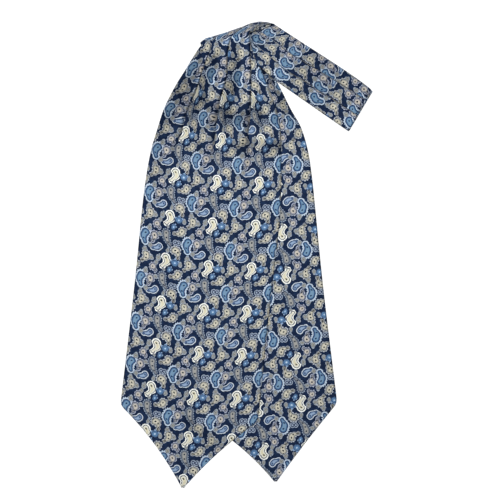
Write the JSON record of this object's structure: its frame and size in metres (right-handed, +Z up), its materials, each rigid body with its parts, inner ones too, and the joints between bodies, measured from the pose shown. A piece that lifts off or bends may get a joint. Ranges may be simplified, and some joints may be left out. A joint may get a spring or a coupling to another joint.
{
  "type": "silk cravat",
  "caption": "Paisley silk day cravat laid flat: two pointed blades pleated at the neck, with the narrow neckband folded double beside them.",
  "frame": {"origin": "middle of the laid cravat's outline, on the surface that it lies on", "axes": "+X to the right across the blades, +Y from the tips towards the folded neck, +Z up from the surface"},
  "size_m": [0.278, 0.5119, 0.0155],
  "materials": {
    "blade_silk": "printed silk twill, navy with a blue, beige and cream paisley, soft sheen",
    "band_silk": "printed silk twill, navy with a blue, beige and cream paisley, soft sheen"
  },
  "bodies": {
    "root": {"front_blade": "blade_silk", "back_blade": "blade_silk", "neckband": "band_silk"}
  },
  "joints": []
}
